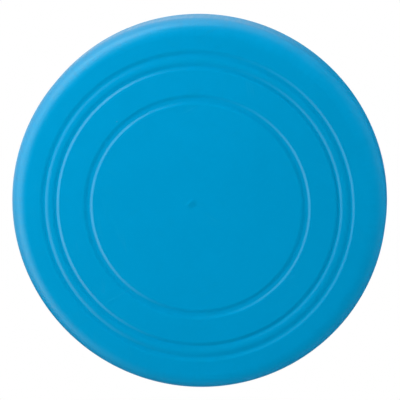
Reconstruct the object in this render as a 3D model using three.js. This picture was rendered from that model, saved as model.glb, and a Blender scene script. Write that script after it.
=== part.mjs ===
// A one-piece flying disc: a thin round plate with a deep turned-down rim, open underneath.
// Millimetres, +Z up. The origin is on the disc's axis, in the plane the rim's lower edge rests on.
// One section is turned about +Z, so every size is a radius or a height in that section.
import * as THREE from "three";

// Driving dimensions
const OUTER_RADIUS = 115; // the widest line of the rim
const HEIGHT = 30; // lower edge to the flat middle of the top
const PLATE = 1.8; // plate thickness, measured straight down
const SEGMENTS = 64; // facets round the axis

// Grooves in the top: one round the middle field, and a pair with a rounded bead between them
const GROOVE_DEPTH = 1;
const FIELD_GROOVE_R = 66.3; // centre of the field groove
const FIELD_GROOVE_HALF = 3.35; // half its width
const FIELD_FLOOR_HALF = 0.5; // half the width of its flat floor
const FIELD_START_R = FIELD_GROOVE_R - FIELD_GROOVE_HALF;
const FIELD_END_R = FIELD_GROOVE_R + FIELD_GROOVE_HALF;

const PAIR_INNER_R = 86.3; // lowest line of the pair's inner groove
const PAIR_OUTER_R = 93.3; // lowest line of the pair's outer groove
const PAIR_INNER_WALL = 2.6; // width of the inner groove's wall towards the axis
const PAIR_OUTER_WALL = 3.1; // width of the outer groove's wall towards the rim
const PAIR_START_R = PAIR_INNER_R - PAIR_INNER_WALL;
const PAIR_END_R = PAIR_OUTER_R + PAIR_OUTER_WALL;

const CROWN_R = 89.5; // top of the bead
const CROWN_DROP = 0.05; // how far the crown stays below the plate
const BEAD_FULLNESS = 0.72; // exponent of the bead's sides; below 1 broadens the bead
const BEAD_INSET_TOP = 0.9; // the bead's end points on top, in from the lowest lines
const BEAD_INSET_UNDER = 1.2; // the same on the underside

// Slopes of the plate outside the middle field
const MID_FALL = 0.012; // between the field groove and the pair
const BAND_FALL = 0.022; // outside the pair

// Shoulder and wall of the rim
const SHOULDER_R = 103.5; // where the top starts to turn down
const UNDER_SHOULDER_R = SHOULDER_R - 0.6; // the same on the underside
const WALL = 2.3; // wall thickness at the shoulder's lower end
const WALL_TOP_R = 114.55; // outside radius there; the wall flares below it, for draft
const WALL_TOP_Z = 18.4;
const WALL_TOP_INSIDE_R = WALL_TOP_R - WALL;
const WALL_FOOT_INSIDE_R = WALL_TOP_INSIDE_R - 0.25; // inside radius just above the lip

// Lower edge of the rim, thickened inwards to a lip
const PARTING_Z = 1.5; // height of the widest line
const FOOT_R = OUTER_RADIUS - 2.1; // middle of the flat the rim rests on
const FOOT_HALF = 0.8; // half the width of that flat
const LIP_R = OUTER_RADIUS - 3.9; // the lip's innermost line
const LIP_Z = 1.9; // height of that line
const LIP_TOP_Z = 3.6; // where the lip starts to thin out to the wall
const WALL_FOOT_Z = 5.8; // where it has reached the wall

const point = (radius, height) => new THREE.Vector2(radius, height);

// Rises from 0 to 1 as share does, level at both ends
const ease = (share) => 0.5 * (1 - Math.cos(Math.PI * share));

// How far the plate, without its grooves, has fallen below its middle
function fall(radius) {
  const midWidth = THREE.MathUtils.clamp(radius - FIELD_GROOVE_R, 0, PAIR_INNER_R - FIELD_GROOVE_R);
  const bandWidth = Math.max(radius - PAIR_OUTER_R, 0);
  return midWidth * MID_FALL + bandWidth * BAND_FALL;
}

// Depth between the pair's lowest lines, where the bead rises
function beadDepth(radius) {
  const lowestR = radius < CROWN_R ? PAIR_INNER_R : PAIR_OUTER_R;
  const share = (radius - lowestR) / (CROWN_R - lowestR); // 0 in a groove, 1 on the crown
  return CROWN_DROP + (GROOVE_DEPTH - CROWN_DROP) * (1 - ease(Math.pow(share, BEAD_FULLNESS)));
}

function grooveDepth(radius) {
  const fromField = Math.abs(radius - FIELD_GROOVE_R);
  if (fromField < FIELD_GROOVE_HALF) {
    const wallWidth = FIELD_GROOVE_HALF - FIELD_FLOOR_HALF;
    return GROOVE_DEPTH * ease(Math.min((FIELD_GROOVE_HALF - fromField) / wallWidth, 1));
  }
  if (radius <= PAIR_START_R || radius >= PAIR_END_R) return 0;
  if (radius <= PAIR_INNER_R) {
    return GROOVE_DEPTH * ease((radius - PAIR_START_R) / PAIR_INNER_WALL);
  }
  if (radius < PAIR_OUTER_R) return beadDepth(radius);
  return GROOVE_DEPTH * ease((PAIR_END_R - radius) / PAIR_OUTER_WALL);
}

const top = (radius) => HEIGHT - fall(radius) - grooveDepth(radius);
const under = (radius) => top(radius) - PLATE;

// Evenly spaced points on a surface from one radius to another, both included
function run(surface, fromR, toR, count) {
  return Array.from({ length: count }, (_, i) => {
    const radius = fromR + ((toR - fromR) * i) / (count - 1);
    return point(radius, surface(radius));
  });
}

// A quarter of an ellipse, from level on a surface at startR to upright at (endR, WALL_TOP_Z)
function turnDown(surface, startR, endR, steps) {
  const drop = surface(startR) - WALL_TOP_Z;
  return Array.from({ length: steps + 1 }, (_, i) => {
    const angle = ((Math.PI / 2) * i) / steps;
    return point(startR + (endR - startR) * Math.sin(angle), WALL_TOP_Z + drop * Math.cos(angle));
  });
}

// From the axis over the top and down the rim to the foot
function outsideFace() {
  return [
    point(0, HEIGHT),
    ...run(top, FIELD_START_R, FIELD_END_R, 9),
    ...run(top, PAIR_START_R, PAIR_INNER_R, 4),
    ...run(top, PAIR_INNER_R + BEAD_INSET_TOP, PAIR_OUTER_R - BEAD_INSET_TOP, 6),
    ...run(top, PAIR_OUTER_R, PAIR_END_R, 4),
    ...turnDown(top, SHOULDER_R, WALL_TOP_R, 8),
    point(OUTER_RADIUS, PARTING_Z),
    point(OUTER_RADIUS - 0.4, 0.5), // rounds the lower edge
    point(FOOT_R + FOOT_HALF, 0),
    point(FOOT_R - FOOT_HALF, 0),
  ];
}

// From the foot up the inside of the rim and back to the axis underneath
function insideFace() {
  return [
    point(LIP_R + 0.35, 0.7), // rounds the lip's lower corner
    point(LIP_R, LIP_Z),
    point(LIP_R + 0.15, LIP_TOP_Z),
    point(WALL_FOOT_INSIDE_R, WALL_FOOT_Z),
    ...turnDown(under, UNDER_SHOULDER_R, WALL_TOP_INSIDE_R, 7).reverse(),
    ...run(under, PAIR_END_R, PAIR_OUTER_R, 3),
    ...run(under, PAIR_OUTER_R - BEAD_INSET_UNDER, PAIR_INNER_R + BEAD_INSET_UNDER, 4),
    ...run(under, PAIR_INNER_R, PAIR_START_R, 3),
    ...run(under, FIELD_END_R, FIELD_START_R, 7),
    point(0, HEIGHT - PLATE),
  ];
}

function makeDisc(material) {
  // Reversed, so that the lathe's faces point outwards
  const section = [...outsideFace(), ...insideFace()].reverse();
  const geometry = new THREE.LatheGeometry(section, SEGMENTS);
  geometry.rotateX(Math.PI / 2); // the lathe turns about +Y; tip it up to +Z
  const disc = new THREE.Mesh(geometry, material);
  disc.name = "disc";
  return disc;
}

const polypropylene = new THREE.MeshStandardMaterial({
  color: 0x0095ca,
  roughness: 0.42,
  metalness: 0,
});

const part = new THREE.Group();
part.add(makeDisc(polypropylene));

export default part;
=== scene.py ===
"""A flying disc: one injection-moulded shell, shown on a plain pale floor under soft studio light.

The disc's axis is Z through the origin. It stands on its rim's foot at Z = 0, with the plate on top.
The section's sizes and the shader's positions are in millimetres; the scene is in metres.
"""
import math

import bpy
import numpy as np
from mathutils import Matrix, Vector


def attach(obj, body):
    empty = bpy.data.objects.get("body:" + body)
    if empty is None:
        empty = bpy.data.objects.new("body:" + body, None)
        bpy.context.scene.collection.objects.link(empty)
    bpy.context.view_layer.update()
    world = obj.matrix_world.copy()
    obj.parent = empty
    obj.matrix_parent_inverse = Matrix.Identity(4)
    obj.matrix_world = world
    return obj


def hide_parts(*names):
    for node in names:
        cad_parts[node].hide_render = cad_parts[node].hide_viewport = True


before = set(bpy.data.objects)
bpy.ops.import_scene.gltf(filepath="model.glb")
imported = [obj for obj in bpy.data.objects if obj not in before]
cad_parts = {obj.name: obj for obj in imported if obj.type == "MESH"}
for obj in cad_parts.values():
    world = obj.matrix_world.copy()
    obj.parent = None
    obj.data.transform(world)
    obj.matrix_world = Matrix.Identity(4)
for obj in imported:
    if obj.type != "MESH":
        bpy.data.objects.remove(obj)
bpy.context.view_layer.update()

MM = 0.001

# ---------------------------------------------------------------------------------------------
# Driving sizes, in millimetres
# ---------------------------------------------------------------------------------------------
OUTER_RADIUS = 115.0
HEIGHT = 30.0
PLATE = 1.8  # thickness of the plate
AXIS_GAP = 0.15  # radius of the innermost ring of vertices

# One round-bottomed groove in the plate, and a pair further out with a crown between them
FIELD_GROOVE_R, FIELD_FLOOR_HALF, FIELD_HALF, FIELD_DEPTH = 66.3, 0.5, 3.35, 1.0
PAIR_INNER_R, PAIR_OUTER_R = 86.3, 93.3  # the two deepest lines
PAIR_INNER_WALL, PAIR_OUTER_WALL = 2.6, 3.1  # widths of the walls outside the pair
PAIR_DEPTH = 1.0
CROWN_R, CROWN_DROP, CROWN_POWER = 89.5, 0.05, 0.72

MID_SLOPE, BAND_SLOPE = 0.012, 0.022  # the plate falls outwards between and beyond the grooves

# Where the spacing of the section's points changes
MARGIN = 0.6
FIELD_START = FIELD_GROOVE_R - FIELD_HALF - MARGIN
FIELD_END = FIELD_GROOVE_R + FIELD_HALF + MARGIN
PAIR_START = PAIR_INNER_R - PAIR_INNER_WALL - MARGIN
PAIR_END = PAIR_OUTER_R + PAIR_OUTER_WALL + MARGIN
GATE_ZONE_R, UNDER_MIDDLE_R = 11.0, 9.0

SHOULDER_R = 103.5
UNDER_SHOULDER_R = SHOULDER_R - 0.6
WALL_TOP_R, WALL_TOP_Z = 114.55, 18.4
WALL = 2.3
WALL_INNER_R = WALL_TOP_R - WALL
WALL_TAPER = 0.22  # how far the wall's inner face leans outwards as it rises
PARTING_Z = 1.5
WITNESS, WITNESS_HALF = 0.07, 0.28  # how far the parting line stands out, and its half height
LIP_INNER_R = OUTER_RADIUS - 3.9
LIP_LOW_Z, LIP_TOP_Z = 1.9, 6.8  # the lip's slope up to the wall runs between these
FOOT_R, FOOT_HALF = OUTER_RADIUS - 2.1, 0.8

GATE_X, GATE_Y, GATE_HEIGHT = -4.2, 2.9, 0.27  # the middle of the gate mark's steep edge
GATE_EDGE_X, GATE_EDGE_Y = 0.72, 0.69  # direction along the steep edge


# ---------------------------------------------------------------------------------------------
# The section
# ---------------------------------------------------------------------------------------------
def raised(share):
    """A smooth step from 0 to 1 as share goes from 0 to 1."""
    return 0.5 * (1 - np.cos(math.pi * np.clip(share, 0, 1)))


def plate_fall(radius):
    mid = np.clip(radius - FIELD_GROOVE_R, 0, PAIR_INNER_R - FIELD_GROOVE_R)
    band = np.clip(radius - PAIR_OUTER_R, 0, None)
    return mid * MID_SLOPE + band * BAND_SLOPE


def groove_depth(radius):
    off_field = np.abs(radius - FIELD_GROOVE_R)
    inner_start = PAIR_INNER_R - PAIR_INNER_WALL
    outer_end = PAIR_OUTER_R + PAIR_OUTER_WALL
    to_crown = np.where(
        radius < CROWN_R,
        (radius - PAIR_INNER_R) / (CROWN_R - PAIR_INNER_R),
        (PAIR_OUTER_R - radius) / (PAIR_OUTER_R - CROWN_R),
    )
    crown = raised(np.clip(to_crown, 0, 1) ** CROWN_POWER)
    return np.select([
        off_field < FIELD_HALF,
        (radius > inner_start) & (radius <= PAIR_INNER_R),
        (radius > PAIR_INNER_R) & (radius < PAIR_OUTER_R),
        (radius >= PAIR_OUTER_R) & (radius < outer_end),
    ], [
        FIELD_DEPTH * raised((FIELD_HALF - off_field) / (FIELD_HALF - FIELD_FLOOR_HALF)),
        PAIR_DEPTH * raised((radius - inner_start) / PAIR_INNER_WALL),
        CROWN_DROP + (PAIR_DEPTH - CROWN_DROP) * (1 - crown),
        PAIR_DEPTH * raised((outer_end - radius) / PAIR_OUTER_WALL),
    ], 0.0)


def top(radius):
    """Height of the plate's upper face."""
    radius = np.asarray(radius, float)
    return HEIGHT - plate_fall(radius) - groove_depth(radius)


def soften(radius, z, reach=0.35, spacing=0.05, half_window=24):
    """Rounds the section's creases a little, as a mould's tool radii do."""
    run = np.concatenate([[0], np.cumsum(np.hypot(np.diff(radius), np.diff(z)))])
    count = int(run[-1] / spacing)
    even = np.linspace(0, run[-1], count)
    offsets = np.arange(-half_window, half_window + 1)
    weights = np.exp(-0.5 * (offsets * (run[-1] / count) / reach) ** 2)
    weights /= weights.sum()

    def smooth(values):
        values = np.interp(even, run, values)
        before = 2 * values[0] - values[half_window:0:-1]
        after = 2 * values[-1] - values[-2:-half_window - 2:-1]
        padded = np.concatenate([before, values, after])
        return np.interp(run, even, np.convolve(padded, weights, "valid"))

    return smooth(radius), smooth(z)


def stations(breaks, steps):
    """Values through all the breaks, with a number of even steps between each two."""
    runs = [
        np.linspace(start, end, count, endpoint=False)
        for start, end, count in zip(breaks, breaks[1:], steps)
    ]
    return np.concatenate(runs + [[breaks[-1]]])


def arc(centre_r, centre_z, reach_r, reach_z, angles):
    """Points on an ellipse; the angle is measured from the Z axis."""
    return centre_r + reach_r * np.sin(angles), centre_z + reach_z * np.cos(angles)


def join(*runs):
    """Joins (radii, heights) runs end to end."""
    return [np.concatenate(values) for values in zip(*runs)]


def outside():
    """From just off the axis over the top and down to the outer edge of the foot."""
    plate_r = stations(
        [AXIS_GAP, GATE_ZONE_R, FIELD_START, FIELD_END, PAIR_START, PAIR_END, SHOULDER_R],
        [80, 24, 40, 12, 80, 14],
    )[:-1]
    shoulder = arc(
        SHOULDER_R, WALL_TOP_Z, WALL_TOP_R - SHOULDER_R, float(top(SHOULDER_R)) - WALL_TOP_Z,
        np.linspace(0, math.pi / 2, 40),
    )
    down = stations([0, 0.88, 1], [22, 23])[1:]  # closer together near the parting line
    wall = (
        WALL_TOP_R + (OUTER_RADIUS - WALL_TOP_R) * down,
        WALL_TOP_Z + (PARTING_Z - WALL_TOP_Z) * down,
    )
    radius, z = soften(*join((plate_r, top(plate_r)), shoulder, wall))
    radius = np.minimum(radius, OUTER_RADIUS)
    z = np.minimum(z, HEIGHT)
    # The wall is set back from the parting line, fading out upwards, so only the line stands out
    off_line = 1 - np.exp(-((z - PARTING_Z) / WITNESS_HALF) ** 2)
    set_back = WITNESS * off_line * raised((9.0 - z) / 5.0)
    radius = np.where(radius > WALL_TOP_R - 0.5, radius - set_back, radius)
    foot_edge = FOOT_R + FOOT_HALF
    foot = arc(
        foot_edge, PARTING_Z, OUTER_RADIUS - foot_edge, -PARTING_Z,
        np.linspace(math.pi / 2, 0, 12)[1:],
    )
    return join((radius, z), foot)


def inside():
    """From the inner edge of the foot up the lip and the wall and back to the axis underneath."""
    foot_edge = FOOT_R - FOOT_HALF
    foot = arc(
        foot_edge, LIP_LOW_Z, LIP_INNER_R - foot_edge, -LIP_LOW_Z,
        np.linspace(0, math.pi / 2, 12),
    )
    wall_low_r = WALL_INNER_R - WALL_TAPER
    share = np.linspace(0, 1, 16)[1:]
    lip = (
        LIP_INNER_R + (wall_low_r - LIP_INNER_R) * raised(share),
        LIP_LOW_Z + (LIP_TOP_Z - LIP_LOW_Z) * share,
    )
    share = np.linspace(0, 1, 18)[1:]
    wall = (wall_low_r + WALL_TAPER * share, LIP_TOP_Z + (WALL_TOP_Z - LIP_TOP_Z) * share)
    shoulder = arc(
        UNDER_SHOULDER_R, WALL_TOP_Z,
        WALL_INNER_R - UNDER_SHOULDER_R, float(top(UNDER_SHOULDER_R)) - PLATE - WALL_TOP_Z,
        np.linspace(math.pi / 2, 0, 34)[1:],
    )
    plate_r = stations(
        [UNDER_SHOULDER_R, PAIR_END, PAIR_START, FIELD_END, FIELD_START, UNDER_MIDDLE_R, AXIS_GAP],
        [7, 55, 8, 29, 19, 29],
    )[1:]
    above_foot = join(lip, wall, shoulder, (plate_r, top(plate_r) - PLATE))
    return join(foot, soften(*above_foot))


# ---------------------------------------------------------------------------------------------
# The moulding
# ---------------------------------------------------------------------------------------------
def add_object(name, data):
    thing = bpy.data.objects.new(name, data)
    bpy.context.scene.collection.objects.link(thing)
    return thing


def lathe(radius, z, segments):
    """Points and faces of a closed solid, from a section that starts and ends near the axis."""
    count = len(radius)
    angles = np.arange(segments) * (2 * math.pi / segments)
    ring_r, ring_angle = np.meshgrid(radius, angles, indexing="ij")
    ring_z = np.repeat(z[:, None], segments, axis=1)
    points = np.stack([ring_r * np.cos(ring_angle), ring_r * np.sin(ring_angle), ring_z], axis=-1)
    points = np.concatenate([points.reshape(-1, 3), [[0, 0, z[0]], [0, 0, z[-1]]]])

    i, j = np.meshgrid(np.arange(count - 1), np.arange(segments), indexing="ij")
    this, following = i * segments, (i + 1) * segments
    k = (j + 1) % segments
    quads = np.stack([this + j, following + j, following + k, this + k], axis=-1).reshape(-1, 4)
    j = np.arange(segments)
    k = (j + 1) % segments
    top_centre, last_ring = count * segments, (count - 1) * segments
    cap_top = np.stack([np.full(segments, top_centre), j, k], axis=-1)
    cap_low = np.stack([np.full(segments, top_centre + 1), last_ring + k, last_ring + j], axis=-1)
    return points, quads.tolist() + cap_top.tolist() + cap_low.tolist()


def gate_mark(x, y):
    """Height of the low mark beside the axis: a short steep edge, then a gentle slope from it."""
    from_x, from_y = x - GATE_X, y - GATE_Y
    along = from_x * GATE_EDGE_X + from_y * GATE_EDGE_Y
    behind = from_x * GATE_EDGE_Y - from_y * GATE_EDGE_X
    front = raised((behind + 1.7) / 1.7)
    back = 1 - raised(behind / (4.4 + 0.5 * along))
    sides = raised((3.4 - np.abs(along - 0.12 * behind)) / 1.8)
    return GATE_HEIGHT * np.where(behind < 0, front, back) * sides


def build_disc():
    points, faces = lathe(*join(outside(), inside()), segments=540)
    near = (points[:, 2] > HEIGHT - 0.5) & (np.hypot(points[:, 0], points[:, 1]) < 14)
    points[near, 2] += gate_mark(points[near, 0], points[near, 1])
    mesh = bpy.data.meshes.new("disc_moulding")
    mesh.from_pydata((points * MM).tolist(), [], faces)
    mesh.validate()
    mesh.update()
    mesh.polygons.foreach_set("use_smooth", np.ones(len(mesh.polygons), bool))
    return add_object("disc_moulding", mesh)


# ---------------------------------------------------------------------------------------------
# Shader graphs
# ---------------------------------------------------------------------------------------------
class Signal:
    """A node's output. Arithmetic on it adds Math nodes to its graph."""

    def __init__(self, graph, socket):
        self.graph, self.socket = graph, socket

    def __add__(self, other):
        return self.graph.calc("ADD", self, other)

    def __radd__(self, other):
        return self.graph.calc("ADD", other, self)

    def __sub__(self, other):
        return self.graph.calc("SUBTRACT", self, other)

    def __rsub__(self, other):
        return self.graph.calc("SUBTRACT", other, self)

    def __mul__(self, other):
        return self.graph.calc("MULTIPLY", self, other)

    def __truediv__(self, other):
        return self.graph.calc("DIVIDE", self, other)


class Graph:
    """Adds nodes to a tree. math_inputs is how many inputs of each Math node are set."""

    def __init__(self, tree, math_inputs=2):
        self.tree, self.math_inputs = tree, math_inputs

    def plug(self, value, socket):
        if isinstance(value, Signal):
            self.tree.links.new(value.socket, socket)
        else:
            socket.default_value = value

    def node(self, kind, inputs=None, **settings):
        """Adds a node and returns it."""
        node = self.tree.nodes.new(kind)
        for name, value in settings.items():
            setattr(node, name, value)
        for key, value in (inputs or {}).items():
            self.plug(value, node.inputs[key])
        return node

    def add(self, kind, inputs=None, output=0, **settings):
        """Adds a node and returns one of its outputs."""
        return self.signal(self.node(kind, inputs, **settings), output)

    def signal(self, node, output):
        return Signal(self, node.outputs[output])

    def calc(self, operation, first, second=0.0):
        values = (first, second, 0.0)[:self.math_inputs]
        return self.add("ShaderNodeMath", dict(enumerate(values)), operation=operation)

    def split(self, vector):
        node = self.node("ShaderNodeSeparateXYZ", {0: vector})
        return [self.signal(node, axis) for axis in range(3)]

    def combine(self, x, y, z):
        return self.add("ShaderNodeCombineXYZ", {0: x, 1: y, 2: z})

    def noise(self, at, scale, detail=2.0, roughness=0.5):
        return self.add("ShaderNodeTexNoise", {
            "Scale": scale, "Detail": detail, "Roughness": roughness, "Vector": at})

    def ramp(self, value, start, end, to_max=1.0):
        """A smooth step from 0 at start to to_max at end."""
        return self.add("ShaderNodeMapRange", {
            "Value": value, "From Min": start, "From Max": end, "To Min": 0.0, "To Max": to_max,
        }, interpolation_type="SMOOTHSTEP")

    def blend(self, factor, color, other):
        return self.add(
            "ShaderNodeMix", {0: factor, 6: color, 7: other}, output=2, data_type="RGBA")

    def switch(self, flag, off, on):
        return self.add("ShaderNodeMixShader", {0: flag, 1: off, 2: on})


# ---------------------------------------------------------------------------------------------
# Satin plastic
# ---------------------------------------------------------------------------------------------
BASE, ROUGHNESS = (0.0, 0.30, 0.588), 0.34
SCRATCH_COLOR = (0.06, 0.42, 0.72, 1)
WEAR_COLOR = (0.12, 0.40, 0.64, 1)
DUST_COLOR = (0.30, 0.55, 0.75, 1)

# Families of hairlines: direction in radians, fineness across, scale of the patches they lie in
HAIRLINES = ((0.5, 2.6, 0.030), (1.75, 2.2, 0.024), (2.6, 3.1, 0.036))


def hairline_scratches(graph, x, y):
    scratches = None
    for angle, fineness, patch_scale in HAIRLINES:
        cosine, sine = math.cos(angle), math.sin(angle)
        along = x * cosine + y * sine
        across = y * cosine - x * sine
        line_at = graph.combine(along * 0.05, across * fineness, angle * 7.0)
        line = graph.noise(line_at, scale=1.0, detail=1.0)
        patches = graph.noise(graph.combine(x, y, angle * 90.0), scale=patch_scale, detail=1.0)
        patch = graph.ramp(patches, start=0.52, end=0.66)
        family = graph.ramp(line, start=0.70, end=0.76) * patch
        scratches = graph.calc("MAXIMUM", scratches, family) if scratches else family
    return scratches


def dust_specks(graph, position):
    """A few cells out of many hold a speck."""
    cells = graph.node("ShaderNodeTexVoronoi", {"Scale": 0.085, "Vector": position})
    pick = graph.add("ShaderNodeSeparateColor", {0: graph.signal(cells, "Color")})
    spot = graph.ramp(graph.signal(cells, "Distance"), start=0.045, end=0.020)
    return spot * graph.calc("GREATER_THAN", pick, 0.86)


def gate_painted_shade(graph, x, y, z):
    """Painted shade: an oval over the gate mark's gentle slope, on the upper face only, where the
    colour is darkened.
    """
    from_x, from_y = x - (GATE_X + 1.9), y - (GATE_Y - 0.6)
    along = (from_x * GATE_EDGE_X + from_y * GATE_EDGE_Y) / 3.6
    across = (from_x * GATE_EDGE_Y - from_y * GATE_EDGE_X) / 2.3
    oval = graph.ramp(along * along + across * across, start=1.2, end=0.1)
    return oval * graph.ramp(z, start=HEIGHT - 0.8, end=HEIGHT - 0.4)


def satin_plastic():
    material = bpy.data.materials.new("satin_polypropylene")
    material.use_nodes = True
    graph = Graph(material.node_tree, math_inputs=3)
    noise, ramp = graph.noise, graph.ramp

    # Position in millimetres, and the polar directions that the marks follow
    coordinates = graph.add("ShaderNodeTexCoord", output="Object")
    position = graph.add(
        "ShaderNodeVectorMath", {"Scale": 1000.0, 0: coordinates}, operation="SCALE")
    x, y, z = graph.split(position)
    radius = graph.calc("SQRT", x * x + (y * y + 0.01))  # the 0.01 keeps it above 0 on the axis
    around_x, around_y = x / radius, y / radius
    section_run = radius - z  # runs along the section, over the shoulder and down the wall

    rim = ramp(radius, start=98.0, end=108.0)
    low_edge = ramp(z, start=5.0, end=1.0) * ramp(radius, start=108.0, end=111.0)

    flow = noise(position, scale=0.018, detail=3.0, roughness=0.55)  # broad flow shading
    cloud = noise(position, scale=0.11, detail=1.5)  # fine clouding of the satin
    peel = noise(position, scale=0.55)  # orange peel
    grain = noise(position, scale=3.2, roughness=0.6)
    streak_at = graph.combine(around_x * 62.0, around_y * 62.0, section_run * 0.035)
    streak = noise(streak_at, scale=1.0, detail=3.0, roughness=0.65)
    turned_at = graph.combine(radius * 1.9, 0.0, z * 0.6)
    turned = noise(turned_at, scale=1.0, roughness=0.6)  # the tool's turning marks
    scratches = hairline_scratches(graph, x, y)
    dust = dust_specks(graph, position)
    wear_noise = noise(position, scale=0.9, detail=3.0, roughness=0.7)
    wear = low_edge * ramp(wear_noise, start=0.42, end=0.68)

    # Colour: the base, lighter and darker by tone, with painted shade over the gate mark, under the
    # marks; factors are their strengths
    tone = (flow - 0.5) * 0.10 + (cloud - 0.5) * 0.030
    streaking = (streak - 0.5) * (rim * 0.12)
    # Painted shade: the colour is darkened by a tenth over the gate mark's slope
    level = 1.0 + (tone + streaking - gate_painted_shade(graph, x, y, z) * 0.10)
    color = graph.add("ShaderNodeVectorMath", {0: BASE, "Scale": level}, operation="SCALE")
    color = graph.blend(scratches * 0.22, color, SCRATCH_COLOR)
    color = graph.blend(wear * 0.30, color, WEAR_COLOR)
    color = graph.blend(dust * 0.35, color, DUST_COLOR)

    # Roughness: clouded all over, streaked on the rim, duller where marked
    rough = ROUGHNESS + (cloud - 0.5) * 0.10
    rough = rough + rim * (0.05 + (streak - 0.5) * 0.34)
    rough = rough + (scratches * 0.10 + wear * 0.18)

    # Relief, in millimetres
    relief = peel * 0.022 + grain * 0.0025
    relief = relief + turned * 0.0030
    relief = relief + streak * (rim * 0.020)
    relief = relief - (scratches * 0.006 + wear * 0.03)
    bump = graph.add("ShaderNodeBump", {"Distance": MM, "Height": relief})

    surface = material.node_tree.nodes["Principled BSDF"]
    for name, value in {
        "Base Color": color,
        "Roughness": rough,
        "Normal": bump,
        "IOR": 1.49,
        "Specular IOR Level": 0.78,
    }.items():
        graph.plug(value, surface.inputs[name])
    return material


# ---------------------------------------------------------------------------------------------
# Floor
# ---------------------------------------------------------------------------------------------
FLOOR_HALF, FLOOR_Z = 4.0, -0.0002  # metres


def compass(azimuth):
    """Cosine and sine of an azimuth in degrees, measured from +X towards +Y."""
    return math.cos(math.radians(azimuth)), math.sin(math.radians(azimuth))


def floor_material():
    """White to the camera, pale grey to diffuse light, and clear from below and to shadow rays."""
    material = bpy.data.materials.new("pale_floor")
    material.use_nodes = True
    material.node_tree.nodes.clear()
    graph = Graph(material.node_tree)
    path = graph.node("ShaderNodeLightPath")
    geometry = graph.node("ShaderNodeNewGeometry")
    position = graph.signal(geometry, "Position")
    grey = graph.add("ShaderNodeBsdfDiffuse", {"Color": (0.60, 0.60, 0.61, 1)})
    white = graph.add("ShaderNodeEmission", {"Color": (1, 1, 1, 1), "Strength": 1.0})
    clear = graph.add("ShaderNodeBsdfTransparent")

    # The satin mirrors the floor only on the side where the tent is bright
    direction = graph.add("ShaderNodeVectorMath", {0: position}, operation="NORMALIZE")
    facing = graph.add(
        "ShaderNodeVectorMath", {0: direction, 1: (*compass(130), 0)},
        output="Value", operation="DOT_PRODUCT")
    glow = graph.ramp(facing, start=0.05, end=1.0, to_max=0.9)
    distance = graph.add(
        "ShaderNodeVectorMath", {0: position}, output="Value", operation="LENGTH")
    clear_of_disc = graph.ramp(distance, start=0.113, end=0.116)  # no glow under the disc itself
    mirrored = graph.add("ShaderNodeEmission", {"Strength": glow * clear_of_disc})

    shader = graph.switch(graph.signal(path, "Is Glossy Ray"), grey, mirrored)
    shader = graph.switch(graph.signal(path, "Is Camera Ray"), shader, white)
    shader = graph.switch(graph.signal(geometry, "Backfacing"), shader, clear)
    # The lamp under the table shines through the floor, for views from below
    shader = graph.switch(graph.signal(path, "Is Shadow Ray"), shader, clear)
    graph.node("ShaderNodeOutputMaterial", {0: shader})
    return material


def build_floor():
    mesh = bpy.data.meshes.new("floor")
    corners = ((-1, -1), (1, -1), (1, 1), (-1, 1))
    points = [(x * FLOOR_HALF, y * FLOOR_HALF, FLOOR_Z) for x, y in corners]
    mesh.from_pydata(points, [], [(0, 1, 2, 3)])
    floor = add_object("floor", mesh)
    mesh.materials.append(floor_material())
    return floor


# ---------------------------------------------------------------------------------------------
# World: the light tent's bright side, which the satin rim mirrors
# ---------------------------------------------------------------------------------------------
CARD_AZIMUTH, CARD_RADIANCE, CARD_COLOR = 138, 3.9, (1.0, 0.93, 0.74, 1)
CARD_TOP = 0.68  # the sine of its top edge's elevation
BELOW_RADIANCE = 0.35  # a dim surround below the table


def build_world():
    world = bpy.data.worlds.new("studio")
    world.use_nodes = True
    world.cycles.sampling_method = "NONE"
    world.node_tree.nodes.clear()
    graph = Graph(world.node_tree)
    ramp = graph.ramp
    x, y, z = graph.split(graph.add("ShaderNodeTexCoord", output="Generated"))
    level = graph.calc("SQRT", x * x + y * y + 1e-6)

    def towards(azimuth):
        cosine, sine = compass(azimuth)
        return (x * cosine + y * sine) / level

    def backdrop(strength, color=(1, 1, 1, 1)):
        return graph.add("ShaderNodeBackground", {"Color": color, "Strength": strength})

    side = ramp(towards(CARD_AZIMUTH), start=-0.35, end=0.30)
    # The card's top edge comes down towards this side, where it is also brighter
    across = towards(CARD_AZIMUTH - 87)
    edge = CARD_TOP - graph.calc("MAXIMUM", across - 0.10, 0.0) * 0.90
    under_edge = 1.0 - ramp(z - edge, start=-0.07, end=0.07)
    bright = 0.50 + ramp(across, start=-0.6, end=0.4) * 0.50
    above = ramp(z, start=-0.35, end=-0.05)
    card = (side * under_edge) * (bright * above) * CARD_RADIANCE
    card = card + (1.0 - above) * BELOW_RADIANCE

    # Mirrored in the disc only: black to diffuse rays and plain white to the camera
    path = graph.node("ShaderNodeLightPath")
    is_diffuse = graph.signal(path, "Is Diffuse Ray")
    unseen = graph.switch(is_diffuse, backdrop(card, CARD_COLOR), backdrop(0.0))
    shader = graph.switch(graph.signal(path, "Is Camera Ray"), unseen, backdrop(1.0))
    graph.node("ShaderNodeOutputWorld", {0: shader})
    bpy.context.scene.world = world


# ---------------------------------------------------------------------------------------------
# Lights: these light the plastic's body colour only
# ---------------------------------------------------------------------------------------------
def lamp(name, kind):
    thing = add_object(name, bpy.data.lights.new(name, kind))
    thing.visible_glossy = False
    thing.data.cycles.use_multiple_importance_sampling = False
    return thing


def panel(name, azimuth, elevation, distance, width, height, radiance):
    """A soft rectangular light that faces the disc. Angles in degrees, lengths in metres."""
    rise = math.radians(elevation)
    cosine, sine = compass(azimuth)
    direction = Vector((math.cos(rise) * cosine, math.cos(rise) * sine, math.sin(rise)))
    thing = lamp(name, "AREA")
    light = thing.data
    light.shape = "RECTANGLE"
    light.size, light.size_y = width, height
    light.energy = radiance * math.pi * width * height  # a Lambertian panel's watts
    thing.location = direction * distance + Vector((0, 0, 0.02))
    thing.rotation_mode = "QUATERNION"
    thing.rotation_quaternion = direction.to_track_quat("Z", "Y")


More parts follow.
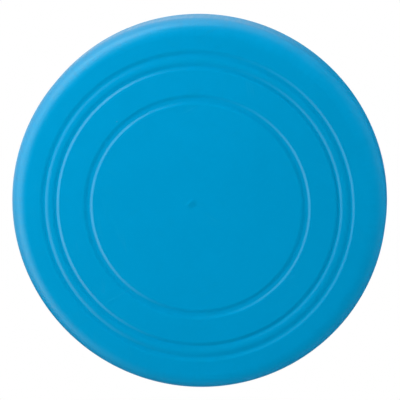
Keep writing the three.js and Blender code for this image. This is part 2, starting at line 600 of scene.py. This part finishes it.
def dome(name, angle, radiance):
    """Even light from a wide cone around +Z. The angle is in degrees."""
    thing = lamp(name, "SUN")
    thing.data.angle = math.radians(angle)
    thing.data.energy = radiance * math.pi
    return thing


def build_lights():
    panel("side_lamp", azimuth=150, elevation=50, distance=0.55,
          width=0.5, height=0.5, radiance=2.7)
    # These two graze the plate and light the rim's wall
    panel("low_lamp", azimuth=46, elevation=3, distance=0.8,
          width=0.6, height=0.10, radiance=13)
    panel("low_fill", azimuth=-55, elevation=3, distance=0.8,
          width=0.8, height=0.10, radiance=3.5)
    dome("tent", angle=176, radiance=0.585)
    below = dome("below", angle=150, radiance=0.46)
    below.rotation_euler = (math.pi, 0, 0)


# ---------------------------------------------------------------------------------------------
# Camera: a long lens a little off the disc's axis
# ---------------------------------------------------------------------------------------------
CAMERA_DISTANCE = 12 * OUTER_RADIUS * MM
CAMERA_TILT, CAMERA_AZIMUTH = 11.4, 66.4  # degrees off the axis, and from +X towards +Y
AIM_RIGHT, AIM_UP = 1.99947, 4.78662  # mm from the middle of the plate to the aim, in the view
SENSOR_WIDTH, LENS = 36.0, 204.984  # mm


def view_axes(back):
    """The view's right and up, with the world's Y upwards."""
    right = Vector((0, 1, 0)).cross(back).normalized()
    return right, back.cross(right)


def build_camera():
    tilt = math.radians(CAMERA_TILT)
    cosine, sine = compass(CAMERA_AZIMUTH)
    back = Vector((math.sin(tilt) * cosine, math.sin(tilt) * sine, math.cos(tilt)))
    right, up = view_axes(back)
    centre = Vector((0, 0, HEIGHT * MM))
    eye = centre + back * CAMERA_DISTANCE
    target = centre + right * (AIM_RIGHT * MM) + up * (AIM_UP * MM)
    back = (eye - target).normalized()
    right, up = view_axes(back)

    lens = bpy.data.cameras.new("camera")
    lens.sensor_width = SENSOR_WIDTH
    lens.sensor_fit = "HORIZONTAL"
    lens.lens = LENS
    lens.clip_start, lens.clip_end = 0.01, 100
    camera = add_object("camera", lens)
    turn = Matrix((right, up, back)).transposed().to_4x4()
    camera.matrix_world = Matrix.Translation(eye) @ turn
    bpy.context.scene.camera = camera


disc = build_disc()
disc.data.materials.append(satin_plastic())
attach(disc, "root")
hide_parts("disc")

build_floor()
build_world()
build_lights()
build_camera()

view = bpy.context.scene.view_settings
view.view_transform = "Standard"
view.look = "None"
